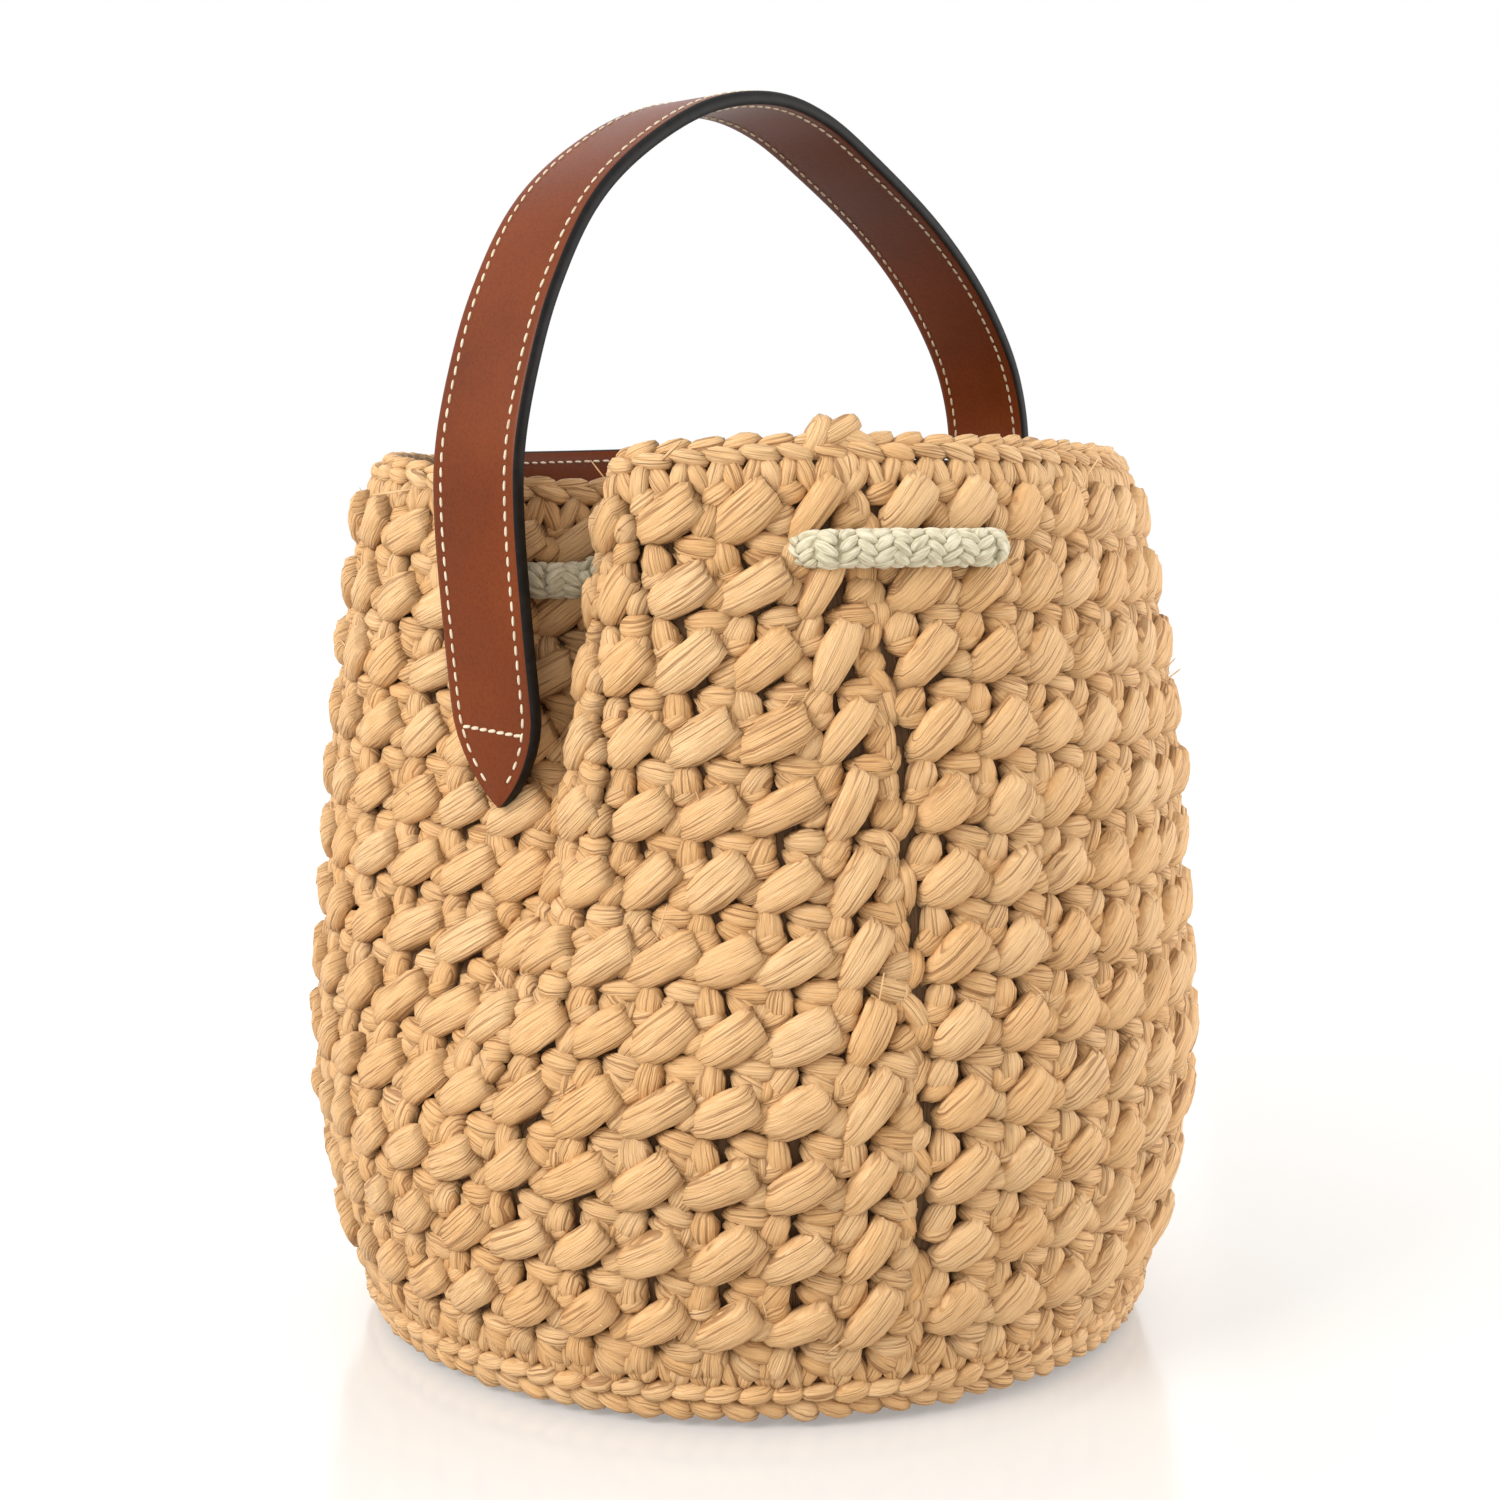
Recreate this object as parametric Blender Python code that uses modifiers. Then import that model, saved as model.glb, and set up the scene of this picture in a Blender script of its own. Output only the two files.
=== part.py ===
# Crocheted raffia bucket bag: a folded soft wall on a round base, a braided drawstring below the rim
# and one stitched leather strap handle.  Metres, +Z up, front towards -Y, handle across X.
# The origin is on the floor at the centre of the base.
import math

import bmesh
import bpy
from mathutils import Matrix, Vector

# Driving dimensions
RIM_HEIGHT = 0.251
BASE_THICK = 0.009
BASE_RADIUS = 0.0990
EDGE_RING_TOP = 0.018
WALL_THICK = 0.008
NORMAL_REACH = 0.014      # share of the way round over which the direction out of the wall is averaged
WALL_ROWS = 12
WALL_COLUMNS = 76
RIM_BEAD_RADIUS = 0.0045
GAP = 0.0003

# The wall is round at the floor and pinched in beside each end of the handle above.  Both pinched outlines
# run from the front centre, round the left side, to the back centre; the rest is the same turned half round.
FLOOR_RADIUS = 0.1110
BELLY_GAIN = 0.0158
BELLY_HEIGHT = 0.115
PINCH_START = 0.060
PINCH_HEIGHT = 0.158
CREASE_SLIDE = 0.055     # share of the way round by which the crease slants as it runs down and fades
CREASE_AT = 0.24
CREASE_SPREAD = 0.09
WAIST_HALF = [(0.0, -0.119), (-0.048, -0.1085), (-0.0835, -0.0778), (-0.1013, -0.0422), (-0.1020, -0.0245),
              (-0.0920, -0.0130), (-0.0972, -0.0010), (-0.0985, 0.011), (-0.1005, 0.033), (-0.0975, 0.0634),
              (-0.076, 0.0946), (-0.0394, 0.1123)]
MOUTH_HALF = [(0.0, -0.1030), (-0.039, -0.0995), (-0.075, -0.0790), (-0.0975, -0.0540), (-0.1010, -0.0395),
              (-0.0870, -0.0290), (-0.0680, -0.0225), (-0.0730, -0.0085), (-0.0895, 0.0030), (-0.0945, 0.027),
              (-0.0915, 0.055), (-0.0740, 0.0775), (-0.039, 0.0965)]
RIM_DIP = 0.040          # share of the height by which the rim sinks beside each end of the handle
RIM_DIP_AT = 0.262
RIM_DIP_SPREAD = 0.085

# Leather strap: the line of its middle, as (distance to the right, height)
STRAP_HALF_WIDTH = 0.0155
STRAP_LINE = [(-0.1052, 0.1560), (-0.1070, 0.1755), (-0.1105, 0.204), (-0.1130, 0.230), (-0.1126, 0.249),
              (-0.1075, 0.2696), (-0.0991, 0.2907), (-0.0850, 0.313), (-0.0655, 0.330), (-0.0380, 0.3450),
              (-0.0100, 0.3515), (0.0150, 0.3495), (0.0412, 0.3399), (0.0722, 0.3252), (0.0968, 0.3085),
              (0.1145, 0.2904), (0.1235, 0.2740), (0.1270, 0.2560), (0.1260, 0.235), (0.1190, 0.206),
              (0.1085, 0.1755), (0.1052, 0.1560)]
END_HEIGHT = 0.1785       # top of the fixed ends, which are sewn to the wall
PIVOT_HEIGHT = 0.1950
TAB_TIP_LENGTH = 0.028
LAYERS = {"outer": (0.0006, 0.0020), "core": (-0.0003, 0.0003), "lining": (-0.0020, -0.0006)}
STRAP_HALF_THICK = 0.0020
STITCH_INSET = 0.0038
THREAD_RADIUS = 0.0004
CROSS_STITCH_FROM_TIP = 0.0205

# Leather facing inside the back of the mouth, over this share of the way round
FACING_THICK = 0.0014
FACING_FROM = 0.436
FACING_TO = 0.640
FACING_WIDTH = 0.031
FACING_TOP = (0.2530, 0.2600)

# Drawstring
CORD_RADIUS = 0.004
CORD_HEIGHT = 0.2240
CORD_OUTSIDE = 0.0095    # distance of its centre from the middle of the wall
CORD_INSIDE = -0.0118
CORD_WINDOWS = [(0.047, 0.122), (0.213, 0.275), (0.675, 0.725), (0.800, 0.860)]
CORD_RAMP = 0.012        # share of the way round that it takes to pass through the wall
CORD_HOLE_RADIUS = 0.0048
CORD_ENDS_AT = 0.415

COLOURS = {
    "raffia": ((0.78, 0.56, 0.33, 1), 0.75),
    "leather": ((0.36, 0.12, 0.04, 1), 0.45),
    "filler": ((0.25, 0.16, 0.10, 1), 0.8),
    "cotton": ((0.78, 0.74, 0.60, 1), 0.9),
    "thread": ((0.80, 0.74, 0.64, 1), 0.7),
}


def clear_scene():
    for obj in list(bpy.data.objects):
        bpy.data.objects.remove(obj, do_unlink=True)


def material(name):
    colour, roughness = COLOURS[name]
    made = bpy.data.materials.get(name) or bpy.data.materials.new(name)
    made.use_nodes = True
    shader = made.node_tree.nodes["Principled BSDF"]
    shader.inputs["Base Color"].default_value = colour
    shader.inputs["Roughness"].default_value = roughness
    shader.inputs["Metallic"].default_value = 0.0
    made.diffuse_color = colour
    return made


def ease(value, low, high):
    """0 below low, 1 above high, smooth between."""
    t = min(1.0, max(0.0, (value - low) / (high - low)))
    return t * t * (3 - 2 * t)


# ---------------------------------------------------------------- outlines and the wall's middle surface

def catmull(p0, p1, p2, p3, t):
    return 0.5 * (2 * p1 + (p2 - p0) * t + (2 * p0 - 5 * p1 + 4 * p2 - p3) * t * t
                  + (3 * p1 - p0 - 3 * p2 + p3) * t ** 3)


def smooth_line(points, closed, steps=24):
    """Points along a smooth curve through the given ones."""
    pts = [Vector(p) for p in points]
    spans = len(pts) if closed else len(pts) - 1

    def at(i):
        return pts[i % len(pts)] if closed else pts[min(max(i, 0), len(pts) - 1)]

    line = [catmull(at(i - 1), at(i), at(i + 1), at(i + 2), k / steps) for i in range(spans) for k in range(steps)]
    return line if closed else line + [pts[-1]]


def evenly(line, closed, count):
    """The line as points at equal distances along it, and its length."""
    ring = line + [line[0]] if closed else line
    run = [0.0]
    for a, b in zip(ring, ring[1:]):
        run.append(run[-1] + (b - a).length)
    out, k = [], 0
    total = count if closed else count - 1
    for i in range(count):
        want = run[-1] * i / total
        while k < len(run) - 2 and run[k + 1] < want:
            k += 1
        out.append(ring[k].lerp(ring[k + 1], (want - run[k]) / (run[k + 1] - run[k])))
    return out, run[-1]


OUTLINE_POINTS = 240


def full_outline(half):
    return evenly(smooth_line(half + [(-x, -y) for x, y in half], True), True, OUTLINE_POINTS)[0]


WAIST = full_outline(WAIST_HALF)
MOUTH = full_outline(MOUTH_HALF)


def on_outline(outline, share):
    place = (share % 1.0) * OUTLINE_POINTS
    i = int(place)
    return outline[i % OUTLINE_POINTS].lerp(outline[(i + 1) % OUTLINE_POINTS], place - i)


def wall_point(share, height):
    """Middle of the wall at that share of the way round, from the front centre towards the left."""
    turn = 2 * math.pi * share
    radius = FLOOR_RADIUS + BELLY_GAIN * math.sin(math.pi / 2 * min(1.0, height / BELLY_HEIGHT))
    round_ = Vector((-radius * math.sin(turn), -radius * math.cos(turn)))
    closing = min(1.0, max(0.0, (height - PINCH_HEIGHT) / (RIM_HEIGHT - PINCH_HEIGHT)))
    near = min((share % 0.5 - CREASE_AT) % 0.5, (CREASE_AT - share % 0.5) % 0.5)
    slant = CREASE_SLIDE * math.exp(-(near / CREASE_SPREAD) ** 2) * (1 - ease(height, PINCH_START, PINCH_HEIGHT))
    pinched = on_outline(WAIST, share - slant).lerp(on_outline(MOUTH, share), closing ** 1.2)
    flat = round_.lerp(pinched, ease(height, PINCH_START, PINCH_HEIGHT))
    beside = min((share % 0.5 - RIM_DIP_AT) % 0.5, (RIM_DIP_AT - share % 0.5) % 0.5)
    lift = 1 - RIM_DIP * math.exp(-(beside / RIM_DIP_SPREAD) ** 2) * ease(height, 0.0, RIM_HEIGHT)
    return Vector((flat.x, flat.y, height * lift))


def wall_normal(share, height):
    """Level direction out of the wall."""
    along = wall_point(share + NORMAL_REACH, height) - wall_point(share - NORMAL_REACH, height)
    return Vector((along.y, -along.x, 0)).normalized() * -1


def off_wall(share, height, distance):
    """A point that far outside the middle of the wall."""
    return wall_point(share, height) + wall_normal(share, height) * distance


# ---------------------------------------------------------------- small builders

def add_object(name, mesh, slot, collection):
    obj = bpy.data.objects.new(name, mesh)
    collection.objects.link(obj)
    mesh.materials.clear()
    mesh.materials.append(material(slot))
    return obj


def smooth_shading(obj, degrees=35):
    obj.data.shade_smooth()
    obj.data.set_sharp_from_angle(angle=math.radians(degrees))


def grid_sheet(name, columns, rows, place):
    """A grid primitive whose point (i, j) is moved to place(i, j); grid ends that meet are welded."""
    bm = bmesh.new()
    bmesh.ops.create_grid(bm, x_segments=columns, y_segments=rows, size=0.5)
    for v in bm.verts:
        v.co = place(round((v.co.x + 0.5) * columns), round((v.co.y + 0.5) * rows))
    bmesh.ops.remove_doubles(bm, verts=bm.verts, dist=1e-6)
    bmesh.ops.recalc_face_normals(bm, faces=bm.faces)
    mesh = bpy.data.meshes.new(name)
    bm.to_mesh(mesh)
    bm.free()
    return mesh


def solid_sheet(name, slot, collection, columns, rows, inner, outer):
    """A closed skin between two grids, inner(i, j) and outer(i, j), joined along their free edges."""
    bm = bmesh.new()
    for place in (inner, outer):
        sheet = grid_sheet(name + "_sheet", columns, rows, place)
        bm.from_mesh(sheet)
        bpy.data.meshes.remove(sheet)
    bmesh.ops.bridge_loops(bm, edges=[e for e in bm.edges if e.is_boundary])
    bmesh.ops.recalc_face_normals(bm, faces=bm.faces)
    mesh = bpy.data.meshes.new(name)
    bm.to_mesh(mesh)
    bm.free()
    obj = add_object(name, mesh, slot, collection)
    smooth_shading(obj)
    return obj


def tube(name, slot, collection, points, radius, closed=False, sides=2):
    """A round tube along the points."""
    curve = bpy.data.curves.new(name, "CURVE")
    curve.dimensions = "3D"
    curve.bevel_depth = radius
    curve.bevel_resolution = sides
    curve.use_fill_caps = not closed
    spline = curve.splines.new("POLY")
    spline.points.add(len(points) - 1)
    for target, p in zip(spline.points, points):
        target.co = (*p, 1)
    spline.use_cyclic_u = closed
    obj = bpy.data.objects.new(name, curve)
    collection.objects.link(obj)
    curve.materials.append(material(slot))
    return obj


def as_mesh(obj):
    """The curve object as a mesh object with the same name and its caps welded on."""
    name, collection = obj.name, obj.users_collection[0]
    bpy.context.view_layer.update()
    mesh = bpy.data.meshes.new_from_object(obj.evaluated_get(bpy.context.evaluated_depsgraph_get()))
    matrix = obj.matrix_world.copy()
    bpy.data.objects.remove(obj)
    bm = bmesh.new()
    bm.from_mesh(mesh)
    bmesh.ops.remove_doubles(bm, verts=bm.verts, dist=1e-6)
    bmesh.ops.recalc_face_normals(bm, faces=bm.faces)
    bm.to_mesh(mesh)
    bm.free()
    made = bpy.data.objects.new(name, mesh)
    made.matrix_world = matrix
    collection.objects.link(made)
    return made


def cut(obj, cutter):
    boolean = obj.modifiers.new("cord_holes", "BOOLEAN")
    boolean.operation = "DIFFERENCE"
    boolean.object = cutter


# ---------------------------------------------------------------- raffia pieces

def make_base(collection):
    bm = bmesh.new()
    bmesh.ops.create_cone(bm, cap_ends=True, segments=56, radius1=BASE_RADIUS, radius2=BASE_RADIUS, depth=BASE_THICK)
    mesh = bpy.data.meshes.new("base_panel")
    bm.to_mesh(mesh)
    bm.free()
    panel = add_object("base_panel", mesh, "raffia", collection)
    panel.location.z = BASE_THICK / 2
    smooth_shading(panel)
    bevel = panel.modifiers.new("soft_edge", "BEVEL")
    bevel.width = 0.002
    bevel.segments = 1
    bevel.limit_method = "ANGLE"


def make_edge_ring(collection):
    """The round that turns the base up into the wall, as a turned profile."""
    inner, top = BASE_RADIUS + GAP, EDGE_RING_TOP - GAP
    half = WALL_THICK / 2
    outer = max(math.hypot(p.x, p.y) for p in (wall_point(k / 12, EDGE_RING_TOP) for k in range(12))) + half
    profile = [(outer, top), (outer - 0.0015, 0.008), (outer - 0.0065, 0.0015), (outer - 0.010, 0.0),
               (inner, 0.0), (inner, 0.010), (outer - WALL_THICK, top)]
    mesh = bpy.data.meshes.new("base_edge_ring")
    bm = bmesh.new()
    verts = [bm.verts.new((x, 0, z)) for x, z in profile]
    for a, b in zip(verts, verts[1:] + verts[:1]):
        bm.edges.new((a, b))
    bm.to_mesh(mesh)
    bm.free()
    ring = add_object("base_edge_ring", mesh, "raffia", collection)
    screw = ring.modifiers.new("turned", "SCREW")
    screw.steps = screw.render_steps = 72
    screw.use_merge_vertices = True
    screw.merge_threshold = 0.0001
    screw.use_smooth_shade = True


def make_wall(collection):
    """The wall as one closed skin: up its outside, over the top, and down its inside."""
    bottom, top = EDGE_RING_TOP, RIM_HEIGHT - 2 * RIM_BEAD_RADIUS - GAP
    half = WALL_THICK / 2
    heights = [bottom + (top - bottom) * j / WALL_ROWS for j in range(WALL_ROWS + 1)]
    section = [(h, half) for h in heights] + [(h, -half) for h in reversed(heights)]

    def place(i, j):
        height, offset = section[j % len(section)]
        return off_wall((i % WALL_COLUMNS) / WALL_COLUMNS, height, offset)

    wall = add_object("side_wall", grid_sheet("side_wall", WALL_COLUMNS, len(section), place), "raffia", collection)
    smooth_shading(wall)
    return wall


def make_rim(collection):
    height = RIM_HEIGHT - RIM_BEAD_RADIUS
    points = [wall_point(i / WALL_COLUMNS, height) for i in range(WALL_COLUMNS)]
    tube("rim_edging", "raffia", collection, points, RIM_BEAD_RADIUS, closed=True)


# ---------------------------------------------------------------- drawstring

def cord_offset(share):
    """Distance of the cord's centre from the middle of the wall: outside in the windows, inside elsewhere."""
    outside = 0.0
    for low, high in CORD_WINDOWS:
        for lap in (-1, 0, 1):
            outside = max(outside, min(ease(share + lap, low - CORD_RAMP, low + CORD_RAMP),
                                       1 - ease(share + lap, high - CORD_RAMP, high + CORD_RAMP)))
    return CORD_INSIDE + (CORD_OUTSIDE - CORD_INSIDE) * outside


def cord_point(share):
    return off_wall(share, CORD_HEIGHT, cord_offset(share))


def make_drawstring(collection, cutters):
    """One cord all the way round; its second end lies under the first for a short way, inside the bag."""
    lap = 0.03

    def place(run):
        under = ease(run, 1 - lap / 2, 1 + lap / 2)
        return cord_point(CORD_ENDS_AT + run) - Vector((0, 0, 0.0105 * under))

    fine = [place((1 + lap) * i / 600) for i in range(601)]
    route = evenly(fine, False, 84)[0]
    tube("drawstring", "cotton", collection, route, CORD_RADIUS, sides=2)
    cutter = as_mesh(tube("cord_passage", "cotton", cutters, route, CORD_HOLE_RADIUS, sides=1))
    cutter.hide_render = True
    cutter.display_type = "WIRE"
    return cutter


# ---------------------------------------------------------------- leather handle

STRAP_STATIONS = 160
STRAP_EVEN, STRAP_LENGTH = evenly([Vector((x, 0, z)) for x, z in smooth_line(STRAP_LINE, False)], False,
                                  STRAP_STATIONS + 1)


def strap_point(run, across, out):
    """A point of the strap: that far along it from its left tip, across its width, and out from its middle."""

    def middle(at):
        place = min(max(at / STRAP_LENGTH, 0.0), 1.0) * STRAP_STATIONS
        i = min(int(place), STRAP_STATIONS - 1)
        return STRAP_EVEN[i].lerp(STRAP_EVEN[i + 1], place - i)

    along = (middle(run + 0.001) - middle(run - 0.001)).normalized()
    return middle(run) + Vector((0, across, 0)) + along.cross(Vector((0, 1, 0))) * out


def run_at_height(height, right):
    """The distance along the strap at which that leg reaches the height."""
    runs = [STRAP_LENGTH * i / 2000 for i in range(2001)]
    leg = [r for r in runs if (r > STRAP_LENGTH / 2) == right]
    return min(leg, key=lambda r: abs(strap_point(r, 0, 0).z - height))


PIVOT_LEFT = run_at_height(PIVOT_HEIGHT, False)
PIVOT_RIGHT = run_at_height(PIVOT_HEIGHT, True)
ENDS = {"left": (0.0, run_at_height(END_HEIGHT, False)), "right": (STRAP_LENGTH, run_at_height(END_HEIGHT, True))}


def tab_half_width(from_tip):
    if from_tip >= TAB_TIP_LENGTH:
        return STRAP_HALF_WIDTH
    return max(0.0012, STRAP_HALF_WIDTH * (1 - (1 - from_tip / TAB_TIP_LENGTH) ** 1.9))


def arch_half_width(run):
    """The arch ends in a half round about each pivot."""
    past = max(PIVOT_LEFT - run, run - PIVOT_RIGHT, 0.0)
    return max(0.0012, math.sqrt(max(STRAP_HALF_WIDTH ** 2 - past ** 2, 0.0)))


def strap_piece(name, slot, collection, runs, half_width, layer):
    low, high = layer

    def face(out):
        return lambda i, j: strap_point(runs[i], (j - 1) * half_width(runs[i]), out)

    return solid_sheet(name, slot, collection, len(runs) - 1, 2, face(low), face(high))


def spread(low, high, count):
    return [low + (high - low) * i / (count - 1) for i in range(count)]


def make_strap(collection, pivot):
    tip_runs = [TAB_TIP_LENGTH * (k / 7) ** 1.6 for k in range(7)]
    arch_turn = [STRAP_HALF_WIDTH * math.cos(math.pi / 2 * k / 5) for k in range(5)]
    arch_runs = ([PIVOT_LEFT - a for a in arch_turn] + spread(PIVOT_LEFT, PIVOT_RIGHT, 34)
                 + [PIVOT_RIGHT + a for a in reversed(arch_turn)])
    for layer, depths in LAYERS.items():
        slot = "filler" if layer == "core" else "leather"
        turn_with(pivot, strap_piece(f"handle_arch_{layer}", slot, collection, arch_runs, arch_half_width, depths))
        for side, (tip, top) in ENDS.items():
            if layer == "core":
                continue
            runs = tip_runs[:-1] + [min(abs(top - tip), TAB_TIP_LENGTH)] if abs(top - tip) <= TAB_TIP_LENGTH else \
                tip_runs + spread(TAB_TIP_LENGTH, abs(top - tip), 4)
            runs = [r for r in runs if r <= abs(top - tip)]
            strap_piece(f"handle_end_{side}_{layer}", slot, collection, [abs(tip - r) for r in runs],
                        lambda run, tip=tip: tab_half_width(abs(run - tip)), depths)


def turn_with(pivot, obj):
    """Parents the object to the pivot without moving it."""
    obj.parent = pivot
    obj.matrix_parent_inverse = Matrix.Translation(-pivot.location)


def make_strap_thread(collection, pivot):
    """Lockstitch threads of the arch, on both faces near each edge, and of the sewn ends."""
    row = STRAP_HALF_WIDTH - STITCH_INSET
    lift = STRAP_HALF_THICK + GAP + THREAD_RADIUS
    for edge, across in (("front", -row), ("back", row)):
        for face, out in (("top", lift), ("bobbin", -lift)):
            points = [strap_point(r, across, out) for r in spread(PIVOT_LEFT + 0.001, PIVOT_RIGHT - 0.001, 44)]
            turn_with(pivot, tube(f"arch_{face}_thread_{edge}", "thread", collection, points, THREAD_RADIUS, sides=0))
    for side, (tip, top) in ENDS.items():
        leg = spread(abs(top - tip) - 0.001, STITCH_INSET * 1.6, 12)

        def on_row(from_tip, sign):
            across = sign * max(0.0, tab_half_width(from_tip) - STITCH_INSET * 1.02)
            return strap_point(abs(tip - from_tip), across, lift)

        down = [on_row(r, 1) for r in leg]
        up = [on_row(r, -1) for r in reversed(leg)]
        tube(f"end_thread_{side}", "thread", collection, down + up, THREAD_RADIUS, sides=0)
        bar = [strap_point(abs(tip - CROSS_STITCH_FROM_TIP), (row - 0.0026) * k / 4, lift) for k in range(-4, 5)]
        tube(f"cross_thread_{side}", "thread", collection, bar, THREAD_RADIUS, sides=0)


def make_facing(collection):
    """A stitched leather band inside the back of the mouth; its top edge stands a little above the rim."""
    columns, rows = 20, 4
    depth = -(RIM_BEAD_RADIUS + 2 * GAP)

    def place(i, j, offset):
        share = FACING_FROM + (FACING_TO - FACING_FROM) * i / columns
        low, high = FACING_TOP
        top = low + (high - low) * i / columns
        return off_wall(share, top - FACING_WIDTH * (1 - j / rows), offset)

    solid_sheet("mouth_facing", "leather", collection, columns, rows,
                lambda i, j: place(i, j, depth - FACING_THICK), lambda i, j: place(i, j, depth))
    for edge, j in (("top", rows - 0.5), ("bottom", 0.5)):
        seam = [place(columns * k / 24, j, depth - FACING_THICK - GAP - THREAD_RADIUS) for k in range(1, 24)]
        tube(f"facing_thread_{edge}", "thread", collection, seam, THREAD_RADIUS, sides=0)


def main():
    clear_scene()
    bag = bpy.data.collections.new("bucket_bag")
    cutters = bpy.data.collections.new("cutters")
    for collection in (bag, cutters):
        bpy.context.scene.collection.children.link(collection)
    make_base(bag)
    make_edge_ring(bag)
    wall = make_wall(bag)
    make_rim(bag)
    cut(wall, make_drawstring(bag, cutters))
    pivot = bpy.data.objects.new("handle_pivot", None)
    pivot.location = (0, 0, PIVOT_HEIGHT)
    bag.objects.link(pivot)
    make_strap(bag, pivot)
    make_strap_thread(bag, pivot)
    make_facing(bag)


main()
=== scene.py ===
import math
import random

import bmesh
import bpy
import numpy as np
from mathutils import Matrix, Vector


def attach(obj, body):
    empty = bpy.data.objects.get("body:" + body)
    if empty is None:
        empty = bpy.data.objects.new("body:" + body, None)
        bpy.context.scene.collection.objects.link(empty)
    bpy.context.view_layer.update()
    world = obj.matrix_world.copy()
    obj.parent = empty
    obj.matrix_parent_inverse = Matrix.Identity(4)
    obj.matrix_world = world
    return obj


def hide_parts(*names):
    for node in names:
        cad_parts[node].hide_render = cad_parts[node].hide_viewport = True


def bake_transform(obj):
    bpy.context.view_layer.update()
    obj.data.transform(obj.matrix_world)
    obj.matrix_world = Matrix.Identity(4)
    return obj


# A crocheted raffia bucket bag with a braided drawstring and one stitched leather strap.
# Every place comes from the bag's own outline below, in metres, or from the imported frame.

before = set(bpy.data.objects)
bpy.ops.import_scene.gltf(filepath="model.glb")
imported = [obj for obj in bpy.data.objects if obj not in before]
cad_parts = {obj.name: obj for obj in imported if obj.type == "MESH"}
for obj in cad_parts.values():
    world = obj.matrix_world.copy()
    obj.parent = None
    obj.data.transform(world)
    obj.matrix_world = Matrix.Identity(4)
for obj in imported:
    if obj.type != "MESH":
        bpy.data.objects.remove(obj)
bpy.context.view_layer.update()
bpy.context.scene.view_settings.view_transform = "Standard"
dice = random.Random(7)


# ---- camera, floor and light

view = {
    "bearing": -51.0,     # degrees round from the front
    "distance": 0.6523,    # from the bag's middle line, level
    "height": 0.2234,
    "downward": 5.25,     # degrees
    "lens": 52.3,
    "shiftX": -0.0033,
}
light = {
    "world": 1.0, "aimHeight": 0.15,
    "key": {"place": (-1.35, 0.25, 0.95), "size": 0.7, "power": 19},
    "fill": {"place": (0.80, -0.95, 0.18), "size": 1.0, "power": 13},
    "top": {"place": (0.0, 0.25, 1.6), "size": 1.2, "power": 2},
    "back": {"place": (1.1, 1.0, 0.9), "size": 1.2, "power": 2},
}


def addCamera():
    turn, down = math.radians(view["bearing"]), math.radians(view["downward"])
    back = Vector((math.sin(turn), -math.cos(turn), 0))
    camera = bpy.data.objects.new("camera", bpy.data.cameras.new("camera"))
    camera.location = back * view["distance"] + Vector((0, 0, view["height"]))
    looking = -back * math.cos(down) - Vector((0, 0, math.sin(down)))
    camera.rotation_euler = looking.to_track_quat("-Z", "Y").to_euler()
    camera.data.lens = view["lens"]
    camera.data.sensor_width = 36
    camera.data.shift_x = view["shiftX"]
    bpy.context.scene.collection.objects.link(camera)
    bpy.context.scene.camera = camera


def addLights():
    world = bpy.data.worlds.new("studio")
    bpy.context.scene.world = world
    world.use_nodes = True
    world.node_tree.nodes["Background"].inputs["Color"].default_value = (1, 1, 1, 1)
    world.node_tree.nodes["Background"].inputs["Strength"].default_value = light["world"]
    for name in ("key", "fill", "top", "back"):
        lamp = bpy.data.lights.new(name, "AREA")
        lamp.energy = light[name]["power"]
        lamp.size = light[name]["size"]
        obj = bpy.data.objects.new(name, lamp)
        obj.location = light[name]["place"]
        aim = Vector((0, 0, light["aimHeight"])) - obj.location
        obj.rotation_euler = aim.to_track_quat("-Z", "Y").to_euler()
        bpy.context.scene.collection.objects.link(obj)


addCamera()
addLights()
print("camera and lights ready")


# ---- materials

def fromHex(code):
    # sRGB hex to linear
    parts = [int(code[i:i + 2], 16) / 255 for i in (1, 3, 5)]
    return tuple(c / 12.92 if c <= 0.04045 else ((c + 0.055) / 1.055) ** 2.4 for c in parts) + (1.0,)


def addNode(material, kind, values=None, links=None, **settings):
    made = material.node_tree.nodes.new(kind)
    for key, value in settings.items():
        setattr(made, key, value)
    for key, value in (values or {}).items():
        made.inputs[key].default_value = value
    for key, source in (links or {}).items():
        material.node_tree.links.new(source, made.inputs[key])
    return made


def newMaterial(name, values):
    material = bpy.data.materials.new(name)
    material.use_nodes = True
    shader = material.node_tree.nodes["Principled BSDF"]
    for key, value in values.items():
        shader.inputs[key].default_value = value
    return material, shader


def feed(material, shader, key, source):
    material.node_tree.links.new(source, shader.inputs[key])


def ramp(material, source, stops):
    made = addNode(material, "ShaderNodeValToRGB", links={"Fac": source})
    made.color_ramp.elements[0].position, made.color_ramp.elements[0].color = stops[0]
    made.color_ramp.elements[1].position, made.color_ramp.elements[1].color = stops[-1]
    for place, colour in stops[1:-1]:
        made.color_ramp.elements.new(place).color = colour
    return made.outputs["Color"]


def mixColours(material, fac, a, b, blend="MIX"):
    made = addNode(material, "ShaderNodeMix", data_type="RGBA", blend_type=blend)
    for index, value in ((0, fac), (6, a), (7, b)):
        if hasattr(value, "is_linked") or hasattr(value, "links"):
            material.node_tree.links.new(value, made.inputs[index])
        else:
            made.inputs[index].default_value = value
    return made.outputs[2]


white = (1, 1, 1, 1)
black = (0, 0, 0, 1)


def addNoise(material, place, **values):
    return addNode(material, "ShaderNodeTexNoise", values=values, links={"Vector": place}).outputs["Fac"]


def addStretch(material, place, scale):
    made = addNode(material, "ShaderNodeMapping", values={"Scale": scale}, links={"Vector": place})
    return made.outputs["Vector"]


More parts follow.
